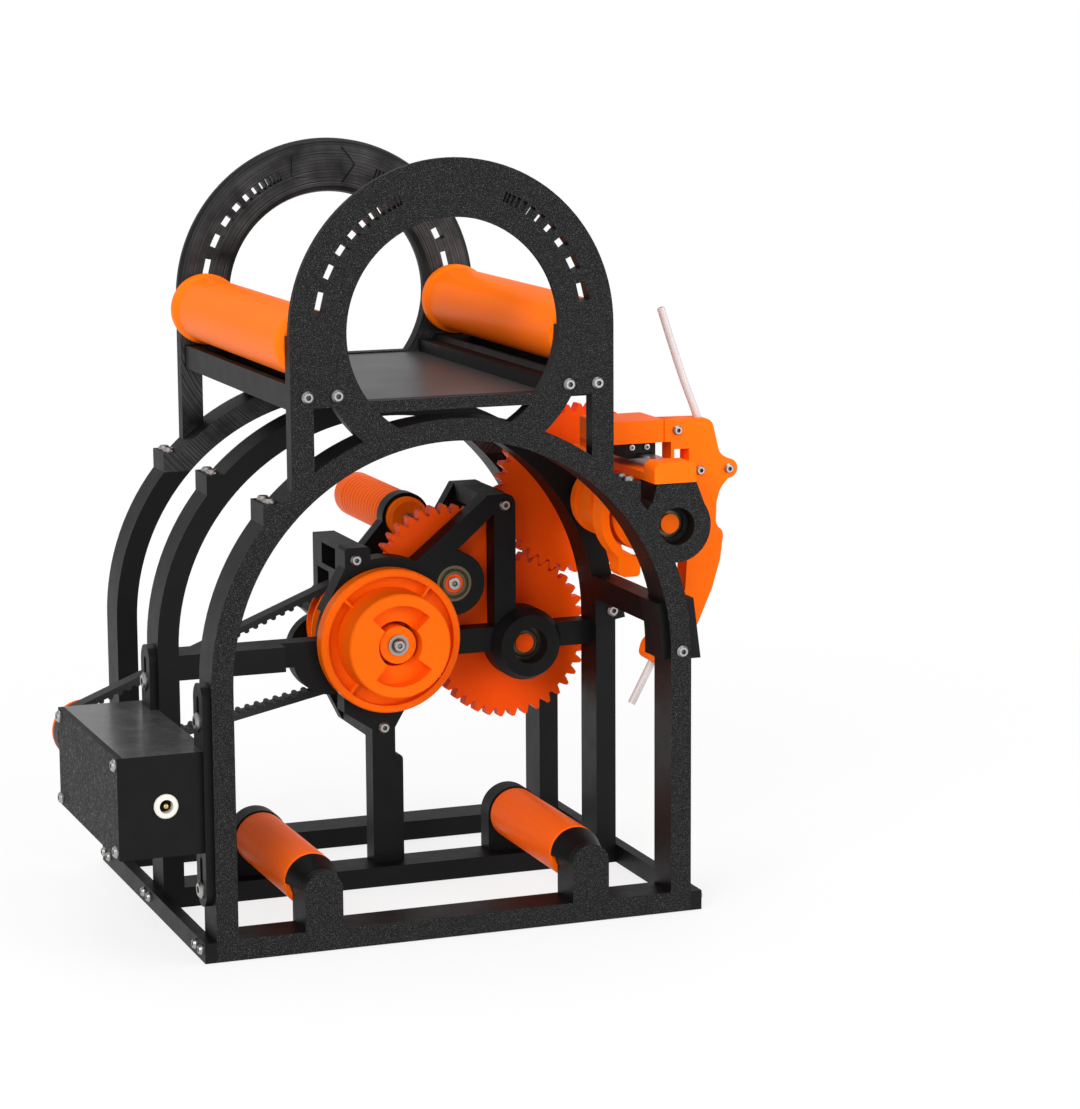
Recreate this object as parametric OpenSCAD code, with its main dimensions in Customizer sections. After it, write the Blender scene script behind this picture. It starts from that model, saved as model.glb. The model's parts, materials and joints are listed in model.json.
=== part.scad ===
// Filament rewinder: three arch frames on two side rails, a spool cradle with rollers on top,
// a belt-driven spindle with a bayonet disc, a gear train, and a barrel-cam level wind at the right.
// Millimetres. +Z is up and the front faces -Y.

/* [Frames] */
// Width over the posts of a frame
frame_w = 250; // [236:1:264]
// Depth of a frame, front to back
frame_t = 22; // [18:1:26]
// Width of a post and of the arch band
post_w = 11; // [9:0.5:13]
// Height of the arch's centre above the floor
arch_z = 135; // [130:1:140]
// Height of the bottom rail of a frame
foot_h = 10.5; // [9:0.5:12]
// Clear space between the front and the middle frame
bay_front = 80; // [76:1:90]
// Clear space between the middle and the back frame
bay_back = 64; // [60:1:72]
// Height of the joint between a frame's lower and upper part, above the arch's centre
split_rise = 78.3; // [74:0.1:82]
// Height of the screw lugs on the upper part
lug_h = 10.2; // [8:0.1:12]
// How far a lug stands out of the arch at its top
lug_out = 9.2; // [8:0.1:11]

/* [Rings] */
// Height of the ring's centre above the top of the arch
ring_rise = 43; // [40:1:46]
// Distance of the ring's outer edge inside the frame's side
ring_in = 42; // [40:1:44]
// Width of the ring from its outer edge to its hole
ring_band = 28.5; // [27:0.5:30]
// Thickness of the ring plate
ring_t = 8; // [7:0.5:10]
// Width of the ring's rounded back edge
ring_edge = 3.5; // [2:0.5:4]
// Width of a leg of the ring
leg_w = 11.5; // [10:0.5:13]
// Width of the lower ring band between the windows
band_w = 15.5; // [14:0.5:17]
// Top of the windows below the ring's centre
window_drop = 34.6; // [33:0.1:36]
// Gap between the arch and the lip below the hole
lip_gap = 4.7; // [4:0.1:6]
// Height of the lip below the hole
lip_h = 5.8; // [5:0.1:7]
// Slots on each side of the ring
slot_n = 11; // [6:1:12]
// Width of a slot across the ring
slot_w = 5.2; // [4:0.1:6]
// Length of the largest slot
slot_l = 9.2; // [8:0.1:10]

/* [Cradle] */
// Radius of a top roller
top_r = 17; // [15:0.5:18]
// Radius of the lip at a top roller's back end
top_lip_r = 18.6; // [18:0.1:19.5]
// Distance of a top roller's axis inside the ring's outer edge
top_in = 13; // [12:0.5:15]
// Height of the top rollers below the ring's centre
top_drop = 5; // [3:0.5:7]
// Radius of a roller's end journal
journal_r = 4; // [3:0.5:5]
// Thickness of the tray's floor
tray_t = 3; // [2:0.5:4]
// Distance of the tray's side inside the ring's hole
tray_in = 4.5; // [3:0.5:6]
// Distance of a tray beam's side inside the ring's outer edge
beam_in = 2; // [1:0.5:4]

/* [Bottom rollers] */
// Radius of a bottom roller
low_r = 13.7; // [12:0.1:15]
// Distance of a bottom roller from the middle plane
low_x = 70.3; // [66:0.5:74]
// Height of a bottom roller's axis
low_z = 30.3; // [29:0.1:33]
// Width of a roller stub on the front frame
stub_w = 19.4; // [17:0.1:22]
// Depth of a roller stub on the middle frame
stub_t = 12; // [11:0.5:14]

/* [Side rails] */
// Width of a side rail
side_w = 6; // [5:0.5:8]
// Height of a side rail
side_h = 10; // [8:0.5:12]

/* [Spindle and disc] */
// Height of the spindle
spindle_z = 130.5; // [128:0.5:133]
// Radius of the spindle and of the gear journals
shaft_r = 5; // [4.5:0.1:5.5]
// Outer radius of a ball bearing
bearing_r = 9.5; // [9:0.1:11]
// Width of a ball bearing
bearing_w = 5; // [4:0.5:6]
// Radius of the driver disc
disc_r = 38; // [36:0.5:40]
// Width of the disc's rim
rim_w = 3.8; // [3:0.1:5]
// Radius of the disc's hub
hub_r = 27.5; // [26:0.5:29]
// How far the hub stands in front of the rim
hub_rise = 15; // [12:0.5:18]
// Depth of the disc's rim
rim_t = 8.4; // [7:0.1:10]
// Radius of the socket in the hub
socket_r = 11.8; // [11.4:0.1:13]
// Radius of the bayonet recesses in the hub
lobe_r = 21.4; // [20:0.1:23]
// Depth of the bayonet recesses
lobe_d = 9; // [7:0.5:11]
// Radius of the boss in the socket
boss_r = 9.8; // [9:0.1:10.5]

/* [Gears] */
// Teeth of the spindle pinion
n_pin1 = 8; // [8:1:10]
// Teeth of gear A
n_a = 36; // [34:1:37]
// Module of the first gear pair
mod1 = 2.1; // [2:0.05:2.15]
// Teeth of the pinion on gear A
n_pin2 = 9; // [9:1:11]
// Teeth of gear B
n_b = 39; // [37:1:41]
// Teeth of gear C on the barrel
n_c = 40; // [38:1:42]
// Module of the second and third gear pairs
mod2 = 2.2; // [2.1:0.05:2.25]
// Width of a gear
gear_w = 8; // [6:0.5:9]
// Play between two teeth
backlash = 0.4; // [0.3:0.05:0.6]
// Distance of gear B from the spindle, sideways
gear_b_x = 77.5; // [75:0.5:80]
// Height of the crossbar's middle line
bar_z = 125.5; // [123:0.5:128]
// Height of the crossbar
bar_h = 13; // [11:0.5:15]
// Thickness of the gear web
web_t = 12; // [10:0.5:14]
// Thickness of the rear gear plate
plate_t = 8; // [7:0.5:10]

/* [Belt drive] */
// Radius of the driven pulley
pulley_r = 26; // [24:0.5:28]
// Radius of the motor pulley
small_r = 12.5; // [11.5:0.5:13.5]
// Width of the belt
belt_w = 10; // [8:0.5:11]
// Thickness of the belt's back
belt_t = 3; // [2:0.1:3.5]
// Pitch of the belt's teeth
belt_pitch = 5.3; // [5:0.1:6]
// Radius of a belt tooth
tooth_r = 1.6; // [1.2:0.1:1.8]

/* [Motor box] */
// Length of the motor box
box_l = 124.5; // [118:0.5:130]
// Width of the motor box
box_w = 43; // [42:0.5:46]
// Height of the motor box
box_h = 50.5; // [46:0.5:54]
// Height of the motor box above the floor
box_z = 54; // [50:0.5:58]
// Gap between the box's back and the belt pulleys
box_gap = 16.5; // [14:0.5:20]
// Wall of the motor box
box_wall = 3; // [2:0.5:4]
// Thickness of the motor box cover
cover_t = 3; // [2:0.5:4]
// Radius of the motor
motor_r = 15; // [13:0.5:15.5]
// Length of the motor
motor_l = 70; // [60:1:80]
// Gap between the motor and the box's cover
motor_gap = 1.5; // [1:0.1:3]
// Distance of the power socket from the frame's side
jack_in = 22.5; // [20:0.5:25]
// Length of a slotted tab above the box
tab_up = 32.5; // [30:0.5:35]
// Length of a slotted tab below the box
tab_down = 28; // [25:0.5:30]
// Half width of a slotted tab
tab_r = 8.5; // [7:0.5:10]
// Thickness of a slotted tab
tab_t = 4; // [3:0.5:5]

/* [Crank] */
// Swing radius of the crank
crank_r = 64.5; // [55:0.5:70]
// Radius of the crank's grip
grip_r = 12.8; // [11:0.1:14]
// Length of the crank's grip
grip_l = 86; // [70:1:92]
// Thickness of the crank's arm
arm_t = 10; // [8:0.5:12]

/* [Level wind] */
// Radius of the barrel
barrel_r = 19; // [17:0.5:19.5]
// How far the barrel's axis stands outside the arch
barrel_out = 8.6; // [8:0.1:10]
// Length of the barrel
barrel_l = 70; // [66:1:72]
// Stroke of the level wind
stroke = 56; // [48:1:58]
// Width of the barrel's groove
groove_w = 5.4; // [4:0.1:6]
// Depth of the barrel's groove
groove_d = 4; // [3:0.1:5]
// Radius of the ear that holds the barrel
ear_r = 18.4; // [17:0.1:20]
// Width of the linear rail
rail_w = 8; // [6:0.5:9]
// Height of the linear rail
rail_h = 5.5; // [5:0.5:7]
// Place of the guide along the barrel, from the front frame's back face
guide_y = 20; // [16:1:24]
// Thickness of the carriage plate
car_t = 12; // [10:0.5:13]
// Length of the carriage's saddle along the rail
saddle_l = 32; // [28:1:34]
// Height of the carriage's saddle
saddle_h = 11.5; // [10:0.5:13]
// Height of the cross beam
tie_h = 12; // [10:0.5:14]
// Clear height between the barrel's axis and the cross beam
tie_drop = 41.4; // [40:0.1:44]
// Gap between the barrel and the carriage's collar
collar_gap = 3; // [2.8:0.1:4]
// Thickness of the carriage's collar
collar_t = 4.5; // [3:0.5:6]
// Radius of the guide tube
tube_r = 2; // [1.5:0.1:2.5]

/* [Screws] */
// Radius of the larger screw heads
head_r = 3.1; // [2.6:0.1:3.4]
// Radius of the smaller screw heads
small_head_r = 2.6; // [2:0.1:3]
// Height of a screw head
head_h = 2; // [1.5:0.1:2.5]

/* [Clearances] */
// Radial play of a shaft in its bearing
run_fit = 0.05; // [0.02:0.01:0.09]
// Radial play of a bearing in its seat
seat_fit = 0.05; // [0.02:0.01:0.1]
// Gap between moving pieces
gap = 0.5; // [0.35:0.05:0.8]

/* [Hidden] */
$fn = 96;
eps = 0.01;
black = [0.10, 0.10, 0.11];
orange = [1.0, 0.40, 0.08];
steel = [0.72, 0.72, 0.74];
white = [0.93, 0.92, 0.90];

// Frames along the depth
arch_ro = frame_w / 2;
arch_ri = arch_ro - post_w;
ring_ro = arch_ro - ring_in;
ring_ri = ring_ro - ring_band;
band_ro = ring_ri + band_w;
slot_r = (ring_ro + ring_ri) / 2;
top_x = ring_ro - top_in;
tray_x = ring_ri - tray_in;
beam_x = ring_ro - beam_in;
y_m0 = frame_t + bay_front;
y_m1 = y_m0 + frame_t;
y_b0 = y_m1 + bay_back;
y_b1 = y_b0 + frame_t;
split_z = arch_z + split_rise;
lug_x = lug_out + sqrt(arch_ro * arch_ro - (split_rise + lug_h) * (split_rise + lug_h));
arch_top = arch_z + arch_ro;
ring_z = arch_top + ring_rise;
lip_z = arch_top + lip_gap;
top_z = ring_z - top_drop;

// Gear train, all along Y
web_y0 = y_m1 - web_t;
ga_y0 = y_m1 + 2;
gb_y0 = ga_y0 + gear_w + 2;
pul_y0 = gb_y0 + gear_w + 2;
belt_y0 = pul_y0 + 2;
plate_y0 = pul_y0 + belt_w + 8;
d_sa = (n_pin1 + n_a) * mod1 / 2;
d_ab = (n_pin2 + n_b) * mod2 / 2;
d_bc = (n_b + n_c) * mod2 / 2;
// Gear B on the crossbar
bx = gear_b_x;
bz = bar_z - 3.5;
// Barrel axis: outside the arch, at its centre distance from gear B
c_rad = arch_ro + barrel_out;
d_ob = sqrt(bx * bx + (bz - arch_z) * (bz - arch_z));
c_u = (c_rad * c_rad - d_bc * d_bc + d_ob * d_ob) / (2 * d_ob);
c_v = sqrt(c_rad * c_rad - c_u * c_u);
cx = (c_u * bx - c_v * (bz - arch_z)) / d_ob;
cz = arch_z + (c_u * (bz - arch_z) + c_v * bx) / d_ob;
// Gear A from the two centre distances
d_sb = sqrt(bx * bx + (bz - spindle_z) * (bz - spindle_z));
a_u = (d_sa * d_sa - d_ab * d_ab + d_sb * d_sb) / (2 * d_sb);
a_v = sqrt(d_sa * d_sa - a_u * a_u);
ux = bx / d_sb;
uz = (bz - spindle_z) / d_sb;
ax = a_u * ux - a_v * uz;
az = spindle_z + a_u * uz + a_v * ux;
ang_sa = atan2(az - spindle_z, ax);
ang_ab = atan2(bz - az, bx - ax);
ang_bc = atan2(cz - bz, cx - bx);
// Height of a tooth above the pitch line, in modules
add_f = 0.78;
a_out = n_a * mod1 / 2 + add_f * mod1;
rot_a = ang_sa + 180 + 180 / n_a;
rot_b = ang_ab + 180 + 180 / n_b;
off_b = rot_b - ang_bc;
rot_c = ang_bc + 180 - off_b * n_b / n_c + 180 / n_c;

// Spindle
disc_y0 = web_y0 - gap - rim_t;
hub_y0 = disc_y0 - hub_rise;
crank_y0 = y_b1 + 2;
crank_ang = 46;
grip_x = crank_r * cos(crank_ang);
grip_z = spindle_z + crank_r * sin(crank_ang);
grip_y0 = crank_y0 + arm_t + gap;
grip_y1 = grip_y0 + grip_l;
pin_r = 4;

// Motor box
box_x1 = -arch_ro;
box_x0 = box_x1 - box_w;
box_y1 = pul_y0 - box_gap;
box_y = box_y1 - box_l;
mot_x = box_x0 + motor_r + motor_gap;
mot_z = box_z + box_h - box_wall - motor_r - 2;

// Level wind
ear_top = cz + 22;
base_h = 4;
rail_x = cx - 1;
rail_z0 = ear_top + base_h;
rail_z1 = rail_z0 + rail_h;
guide = frame_t + guide_y;
bar_y0 = frame_t + 6;
bar_y1 = bar_y0 + barrel_l;
block_z1 = rail_z1 + 6;
saddle_x0 = cx - 25.5;
saddle_x1 = cx + 9.4;
ear_b_y = frame_t / 2;
car_x1 = cx + 44;
ear_lug_r = 5;

// The origin stands under the middle of the whole machine's box
x_lo = box_x0 - cover_t - head_h;
x_hi = max(car_x1 + ear_lug_r, cx + (n_c * mod2) / 2 + add_f * mod2);
y_lo = min(-head_h, box_y - 1.5);
org_x = (x_lo + x_hi) / 2;
org_y = (grip_y1 + y_lo) / 2;

// Helpers

// A flat outline in X and Z, drawn out along Y
module slab(y0, y1) { translate([0, y1, 0]) rotate([90, 0, 0]) linear_extrude(y1 - y0) children(); }
// A round bar along Y
module rod(x, z, r, y0, y1) { translate([x, y0, z]) rotate([-90, 0, 0]) cylinder(r = r, h = y1 - y0); }
// A profile of radius and depth, turned about an axis along Y
module turned(x, z, y0) { translate([x, y0, z]) rotate([-90, 0, 0]) rotate_extrude() children(); }
// Moves the machine so that its origin is under its middle
module put() { translate([-org_x, -org_y, 0]) children(); }
module disk(x, z, r) { translate([x, z]) circle(r); }
module box2(x0, x1, z0, z1) { translate([x0, z0]) square([x1 - x0, z1 - z0]); }
// A box outline with round corners
module round2(x0, x1, z0, z1, r) {
  box2(x0 + r, x1 - r, z0, z1);
  box2(x0, x1, z0 + r, z1 - r);
  for (x = [x0 + r, x1 - r])
    for (z = [z0 + r, z1 - r]) disk(x, z, r);
}

// Frames

// Posts, arch and bottom rail in one outline
module arch2d() {
  difference() {
    opening2d(arch_ro, 0);
    opening2d(arch_ri);
  }
}
// Round-headed outline of radius r, open down to the bottom rail
module opening2d(r, z0 = foot_h) {
  disk(0, arch_z, r);
  box2(-r, r, z0, arch_z);
}
module lower2d() {
  intersection() {
    arch2d();
    box2(-arch_ro, arch_ro, 0, split_z);
  }
}
// Upper arch with the lugs that its screws hold down by
module upper2d() {
  intersection() {
    arch2d();
    box2(-arch_ro, arch_ro, split_z, arch_top + 1);
  }
  difference() {
    box2(-lug_x, lug_x, split_z, split_z + lug_h);
    disk(0, arch_z, arch_ri);
  }
}
// Ear that carries one end of the barrel
module ear2d() {
  disk(cx, cz, ear_r);
  polygon([[cx - 10.8, ear_top], [cx + 10.6, ear_top], [cx + ear_r, cz + 2], [cx, cz - 10],
    [cx - 14.8, cz - 6], [cx - 14.5, cz + 7]]);
}
// Round-topped stub of half width w, for one end of a bottom roller
module stub(side, w, y0, y1) {
  slab(y0, y1) {
    box2(side * low_x - w, side * low_x + w, foot_h / 2, low_z);
    disk(side * low_x, low_z, w);
  }
}
// Crown that swells towards the roller behind a front stub
module stub_crown(side) {
  h = frame_t / 2;
  r = stub_w / 2;
  turned(side * low_x, low_z, frame_t - h) polygon([[0, 0], [r, 0], [r + 1.4, h - 1], [r + 1.4, h], [0, h]]);
}
low_in = 9;
low_y1 = y_m1 - stub_t;
module low_bores(y0, y1) {
  for (s = [-1, 1]) rod(s * low_x, low_z, journal_r + run_fit, y0, y1);
}
module frame_front_lower() {
  color(black) put() difference() {
    union() {
      slab(0, frame_t) lower2d();
      slab(0, frame_t) ear2d();
      for (s = [-1, 1]) {
        stub(s, stub_w / 2, 0, frame_t);
        stub_crown(s);
      }
    }
    low_bores(frame_t - low_in - gap, frame_t + 1);
    rod(cx, cz, bearing_r + seat_fit, -1, ear_b_y - 2);
    rod(cx, cz, shaft_r + 2, 1, frame_t + 1);
    rod(cx, cz, bearing_r + seat_fit, ear_b_y, frame_t + 1);
  }
}
module frame_mid_lower() {
  color(black) put() difference() {
    union() {
      slab(y_m0, y_m1) lower2d();
      slab(y_m0, y_m1) ear2d();
      for (s = [-1, 1]) stub(s, low_r + 0.7, low_y1, y_m1);
    }
    low_bores(low_y1 - 1, low_y1 + low_in + gap);
    rod(cx, cz, bearing_r + seat_fit, y_m1 - bearing_w, y_m1 + 1);
    rod(cx, cz, shaft_r + 2, y_m0 - 1, y_m1);
  }
}
module frame_back_lower() {
  color(black) put() slab(y_b0, y_b1) lower2d();
}
module frame_mid_upper() {
  color(black) put() slab(y_m0, y_m1) upper2d();
}

// Ring plate below its centre: legs, windows, lower band and lip
module ring_low2d() {
  difference() {
    union() {
      box2(-ring_ro, ring_ro, ring_z - window_drop, ring_z);
      box2(-ring_ro, leg_w - ring_ro, arch_z + arch_ri / 2, ring_z);
      box2(ring_ro - leg_w, ring_ro, arch_z + arch_ri / 2, ring_z);
      intersection() {
        disk(0, ring_z, band_ro);
        box2(-band_ro, band_ro, arch_z, ring_z);
      }
    }
    disk(0, ring_z, ring_ri);
    disk(0, arch_z, arch_ri + 1);
  }
  intersection() {
    disk(0, ring_z, ring_ri + 2);
    box2(-ring_ri, ring_ri, lip_z, lip_z + lip_h);
  }
}
// Slot lengths and angles fall off towards the top of the ring
function slot_a(i) = 166.5 - 58 * (1 - pow(0.79, i)) * 1.02;
function slot_len(i) = max(1.2, slot_l * pow(0.8, i));
module ring_plate() {
  difference() {
    union() {
      slab(0, ring_t) ring_low2d();
      intersection() {
        turned(0, ring_z, 0) polygon([[ring_ri, 0], [ring_ro, 0], [ring_ro, ring_t - ring_edge - 1],
          [ring_ro - 1, ring_t - 1.2], [ring_ro - ring_edge, ring_t], [ring_ri + ring_edge, ring_t],
          [ring_ri + 1, ring_t - 1.2], [ring_ri, ring_t - ring_edge - 1]]);
        translate([-ring_ro - 1, -1, ring_z]) cube([2 * ring_ro + 2, ring_t + 2, ring_ro + 1]);
      }
    }
    for (i = [0 : slot_n - 1])
      for (s = [0, 1])
        mirror([s, 0, 0]) translate([0, 0, ring_z]) rotate([0, -slot_a(i), 0])
          translate([slot_r - slot_w / 2, -1, -slot_len(i) / 2]) cube([slot_w, ring_t + 2, slot_len(i)]);
    for (s = [-1, 1]) rod(s * top_x, top_z, journal_r + run_fit, ring_t - 5, ring_t + 1);
  }
}
module frame_front_upper() {
  color(black) put() {
    slab(0, frame_t) upper2d();
    ring_plate();
  }
}
// The back ring faces the other way, with a plain raised arrow on its crown
module frame_back_upper() {
  crown_z = ring_z + ring_ri + ring_band / 2;
  color(black) put() {
    slab(y_b0, y_b1) upper2d();
    difference() {
      union() {
        translate([0, y_b1, 0]) mirror([0, 1, 0]) ring_plate();
        translate([0, 0, crown_z]) slab(y_b1 - ring_t - 0.7, y_b1 - ring_t + 1)
          round2(-20, 8, -6, 6, 1.5);
      }
      for (s = [-1, 1])
        translate([15, y_b1 - ring_t, crown_z]) rotate([0, s * 52, 0]) translate([-12, -1, -0.6]) cube([12, 2, 1.2]);
    }
  }
}
module side_rail(s) {
  color(black) put() translate([s > 0 ? arch_ro : -arch_ro - side_w, 0, 0]) cube([side_w, y_b1, side_h]);
}
module side_rail_left() { side_rail(-1); }
module side_rail_right() { side_rail(1); }

// Cradle

tray_y0 = ring_t;
tray_y1 = y_b1 - ring_t;
beam_top = top_z - top_lip_r - gap;
module tray() {
  color([0.32, 0.32, 0.33]) put() translate([-tray_x, tray_y0, lip_z + lip_h - tray_t - 0.8])
    cube([2 * tray_x, tray_y1 - tray_y0, tray_t]);
}
// Stepped beam under a top roller, hollow in the middle of its length
module tray_beam(s) {
  z0 = lip_z + 2;
  color(black) put() mirror([s > 0 ? 0 : 1, 0, 0]) difference() {
    slab(tray_y0, tray_y1) polygon([[tray_x, z0], [beam_x, z0], [beam_x, beam_top], [tray_x + 10, beam_top],
      [tray_x + 8, beam_top - 2.5], [tray_x, beam_top - 2.5]]);
    translate([tray_x + 12, tray_y0 + 14, z0 + 3]) cube([beam_x - tray_x - 16, tray_y1 - tray_y0 - 28, beam_top]);
  }
}
module tray_beam_left() { tray_beam(-1); }
module tray_beam_right() { tray_beam(1); }
module top_roller(s) {
  l = tray_y1 - tray_y0 - 2 * gap;
  j = 5 - 2 * gap;
  color(orange) put() turned(s * top_x, top_z, tray_y0 + gap)
    polygon([[0, -j], [journal_r, -j], [journal_r, 0], [top_r - 3, 0], [top_r - 0.9, 0.9], [top_r, 3],
      [top_r, l - 10], [top_lip_r, l - 7], [top_lip_r, l - 2], [top_lip_r - 2, l], [journal_r, l],
      [journal_r, l + j], [0, l + j]]);
}
module top_roller_left() { top_roller(-1); }
module top_roller_right() { top_roller(1); }
module bottom_roller(s) {
  l = low_y1 - frame_t - 2 * gap;
  j = low_in;
  color(orange) put() turned(s * low_x, low_z, frame_t + gap)
    polygon([[0, -j], [journal_r, -j], [journal_r, 0], [low_r - 1, 0], [low_r, 1], [low_r, l - 1],
      [low_r - 1, l], [journal_r, l], [journal_r, l + j], [0, l + j]]);
}
module bottom_roller_left() { bottom_roller(-1); }
module bottom_roller_right() { bottom_roller(1); }

// Gear web and rear plate

corner_x = ax + 28.5;
corner_z = az + a_out + 0.6;
cage_x = -15;
cage_z = spindle_z + 42.5;
web_r = disc_r - 3;
post_x = 8.4;
step_x = -57.6;
shoulder_z = 68;
b_boss_y0 = web_y0 - 8;
b_seat = 10;
module seat(x, z, y0, depth) {
  rod(x, z, bearing_r + seat_fit, y0 - 1, y0 + depth);
  rod(x, z, shaft_r + 2, y0 - 1, y0 + 60);
}
module web2d() {
  box2(-arch_ri, arch_ri, bar_z - bar_h / 2, bar_z + bar_h / 2);
  disk(0, spindle_z, web_r);
  disk(ax, az, bearing_r + 7.5);
  disk(bx, bz, bearing_r + 10);
  // band over the disc, and the lobe under the crossbar at its left
  translate([0, spindle_z]) sector(web_r - 1, disc_r + 5, 48, 118);
  intersection() {
    disk(-30, spindle_z - 6.5, 21);
    box2(-60, 0, spindle_z - 40, bar_z);
  }
  // upright strut from the corner to gear B's boss
  disk(corner_x, corner_z, 6);
  box2(corner_x - 6, corner_x + 6, bz, corner_z);
  // slanted strut from the corner past gear A's boss
  polygon([[corner_x, corner_z + 6], [corner_x - 10, corner_z + 5.5], [corner_x - 13.6, corner_z + 2],
    [ax - 25, az + 10], [ax - 18, az + 0.5], [corner_x - 6, corner_z - 4.5], [corner_x, corner_z - 6]]);
  // tab that carries the upper spacer
  translate([cage_x, cage_z]) round2(-7, 7, -12, 6.5, 2);
  polygon([[cage_x - 7, cage_z - 4], [cage_x + 7, cage_z - 4], [16, spindle_z + 30], [-34, spindle_z + 16]]);
  // post down to the bottom rail, with its rounded shoulder
  box2(-post_x, post_x, foot_h, shoulder_z - 3);
  box2(-post_x, post_x - 3, foot_h, shoulder_z);
  disk(post_x - 3, shoulder_z - 3, 3);
  box2(-post_x, post_x / 2, foot_h, spindle_z - 30);
  polygon([[-23.5, spindle_z - 28], [-23.5, 92.5], [-post_x, 82.5], [post_x / 2, 82.5], [16, spindle_z - 28]]);
}
module gear_web() {
  h = y_m1 - b_boss_y0;
  color(black) put() difference() {
    union() {
      slab(web_y0, y_m1) web2d();
      slab(y_m0, y_m1) box2(-arch_ri, step_x, bar_z - bar_h / 2, bar_z + bar_h / 2);
      turned(bx, bz, b_boss_y0) polygon([[0, 0], [bearing_r + 7, 0], [bearing_r + 7, 1], [bearing_r + 10, 7],
        [bearing_r + 10, h], [0, h]]);
    }
    seat(0, spindle_z, web_y0, bearing_w);
    seat(ax, az, web_y0, bearing_w);
    seat(bx, bz, b_boss_y0, b_seat + bearing_w);
  }
}
// Rear plate with the three spacers that hold it off the web
low_sp_z = 83;
module rear_plate() {
  pr = bearing_r + 5;
  color(black) put() difference() {
    union() {
      slab(plate_y0, plate_y0 + plate_t) {
        disk(0, spindle_z, 22);
        disk(-17.5, spindle_z - 14.5, 20);
        disk(ax, az, pr);
        disk(bx, bz, pr);
        polygon([[-9, spindle_z + 18], [-9, cage_z + 6], [-21, cage_z + 6], [-21, spindle_z + 10]]);
        polygon([[4, spindle_z + 18], [ax - 9, az + 8], [ax + 8, az - 8], [14, spindle_z - 6]]);
        polygon([[ax - 4, az + 8], [corner_x - 10, corner_z + 5], [corner_x + 5, corner_z + 5],
          [corner_x + 5, corner_z - 5], [ax + 10, az]]);
        polygon([[ax - 4, az - 12], [ax + 10, az + 6], [bx + 8, bz + 10], [bx - 8, bz - 8]]);
        polygon([[-20, spindle_z - 30], [-post_x, low_sp_z - 6], [4, low_sp_z - 6], [16, spindle_z - 14]]);
      }
      translate([-21, y_m1, cage_z - 11]) cube([12, plate_y0 - y_m1, 17]);
      translate([corner_x - 10, y_m1, corner_z - 4]) cube([14.5, plate_y0 - y_m1, 9]);
      translate([-post_x, y_m1, low_sp_z - 6]) cube([12, plate_y0 - y_m1, 12]);
      translate([-21, y_m1, cage_z - 24]) cube([4, belt_y0 - y_m1 - 4, 14]);
    }
    // window in the upper spacer
    translate([-22, y_m1 + 8, cage_z - 8]) cube([8, plate_y0 - y_m1 - 16, 11]);
    seat(0, spindle_z, plate_y0, bearing_w);
    seat(ax, az, plate_y0, bearing_w);
    seat(bx, bz, plate_y0, bearing_w);
  }
}

// Ball bearing: two races with a channel between them on both faces
module bearing(x, z, y0) {
  color(steel) put() turned(x, z, y0) {
    polygon([[shaft_r + run_fit, 0], [shaft_r + 1.3, 0], [shaft_r + 1.3, 0.6], [bearing_r - 1.4, 0.6],
      [bearing_r - 1.4, 0], [bearing_r, 0], [bearing_r, bearing_w], [bearing_r - 1.4, bearing_w],
      [bearing_r - 1.4, bearing_w - 0.6], [shaft_r + 1.3, bearing_w - 0.6], [shaft_r + 1.3, bearing_w],
      [shaft_r + run_fit, bearing_w]]);
  }
}
module bearing_spindle_front() { bearing(0, spindle_z, web_y0); }
module bearing_spindle_rear() { bearing(0, spindle_z, plate_y0); }
module bearing_a_front() { bearing(ax, az, web_y0); }
module bearing_a_rear() { bearing(ax, az, plate_y0); }
module bearing_b_front() { bearing(bx, bz, b_boss_y0 + b_seat); }
module bearing_b_rear() { bearing(bx, bz, plate_y0); }
module bearing_barrel_front() { bearing(cx, cz, ear_b_y); }
module bearing_barrel_mid() { bearing(cx, cz, y_m1 - bearing_w); }

// Spindle

shaft_y0 = hub_y0 + lobe_d / 2;
module spindle_shaft() {
  color(steel) put() rod(0, spindle_z, shaft_r, shaft_y0, crank_y0 + arm_t);
}
module disc_screw() {
  color(steel) put() turned(0, spindle_z, shaft_y0 - 3.2)
    polygon([[0, 0.6], [1.4, 0.6], [1.4, 0], [2.6, 0], [3.2, 0.7], [3.2, 2], [5.4, 2], [5.4, 3.2], [0, 3.2]]);
}
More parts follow.
